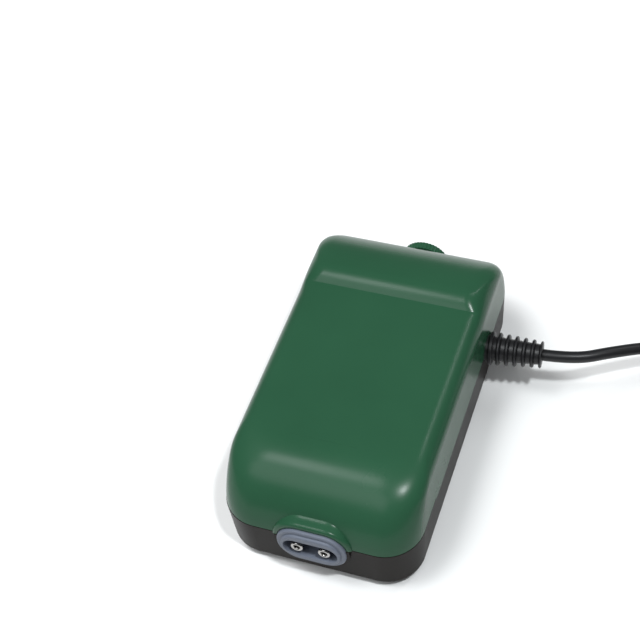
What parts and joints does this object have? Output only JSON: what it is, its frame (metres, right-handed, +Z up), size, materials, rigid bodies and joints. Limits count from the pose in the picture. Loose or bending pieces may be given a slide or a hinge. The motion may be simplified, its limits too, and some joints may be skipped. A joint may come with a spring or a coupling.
{
  "type": "aquarium air pump",
  "caption": "Electromagnetic aquarium air pump with twin outlet nozzles, rear flow knob, rubber feet and corded plug.",
  "frame": {"origin": "on the surface that the pump stands on, below the middle of its case", "axes": "+X is across the case towards the side that the cord leaves, -Y is the front with the outlets, +Y is the rear with the knob, +Z is up"},
  "size_m": [0.2415, 0.1619, 0.0505],
  "materials": {
    "cover_plastic": "satin",
    "base_plastic": "fine grain",
    "bezel_rubber": "soft matte",
    "nozzle_chrome": "polished",
    "knob_plastic": "satin",
    "steel": "zinc plated",
    "pot_case": "matte",
    "circuit_board": "laminate",
    "component_case": "moulded",
    "black_rubber": "matte",
    "felt": "felt",
    "bobbin_plastic": "moulded",
    "copper_winding": "enamelled wire",
    "core_steel": "varnished laminations",
    "arm_plastic": "moulded",
    "magnet": "ferrite",
    "silicone": "translucent",
    "wire_insulation": "insulation",
    "cord_rubber": "satin",
    "plug_plastic": "satin",
    "pin_brass": "nickel plated brass"
  },
  "bodies": {
    "case": {"cover": "cover_plastic", "base": "base_plastic", "outlet_bezel": "bezel_rubber", "nozzle_left": "nozzle_chrome", "nozzle_right": "nozzle_chrome", "potentiometer": "pot_case", "control_board": "circuit_board", "board_parts": "component_case", "rubber_feet": "black_rubber", "housing_screws": "steel", "filter_felt": "felt", "filter_cover": "base_plastic", "coil_bobbin": "bobbin_plastic", "coil_winding": "copper_winding", "laminated_core": "core_steel", "core_bracket": "steel", "bracket_screws": "steel", "arm_pivot_pins": "steel", "diaphragm_left": "black_rubber", "diaphragm_right": "black_rubber", "diaphragm_ring_left": "arm_plastic", "diaphragm_ring_right": "arm_plastic", "valve_chamber_left": "arm_plastic", "valve_chamber_right": "arm_plastic", "valve_flaps_left": "black_rubber", "valve_flaps_right": "black_rubber", "valve_cap_left": "bobbin_plastic", "valve_cap_right": "bobbin_plastic", "air_tube_left": "silicone", "air_tube_right": "silicone", "lead_wires": "wire_insulation", "strain_relief": "cord_rubber", "power_cord": "cord_rubber", "cord_coil": "cord_rubber", "cord_tail": "cord_rubber", "plug_body": "plug_plastic", "plug_pins": "pin_brass"},
    "knob": {"control_knob": "knob_plastic", "knob_shaft": "steel"},
    "arm_left": {"swing_arm_left": "arm_plastic", "arm_magnet_left": "magnet", "diaphragm_stud_left": "steel"},
    "arm_right": {"swing_arm_right": "arm_plastic", "arm_magnet_right": "magnet", "diaphragm_stud_right": "steel"}
  },
  "joints": [
    {"name": "knob_turn", "type": "hinge", "parent": "case", "child": "knob", "pos_m": [0, 0.0771, 0.0175], "axis": [0, 1, 0], "range_deg": [-135, 135]},
    {"name": "arm_left_swing", "type": "hinge", "parent": "case", "child": "arm_left", "pos_m": [-0.025, 0.062, 0.022], "axis": [0, 0, 1], "range_deg": [-1.5, 1.5], "stiffness_Nm_per_rad": 1, "deforming": ["diaphragm_left"]},
    {"name": "arm_right_swing", "type": "hinge", "parent": "case", "child": "arm_right", "pos_m": [0.025, 0.062, 0.022], "axis": [0, 0, 1], "range_deg": [-1.5, 1.5], "stiffness_Nm_per_rad": 1, "deforming": ["diaphragm_right"]}
  ],
  "couplings": [
    {"joint": "arm_right_swing", "follows": "arm_left_swing", "ratio": -1}
  ]
}
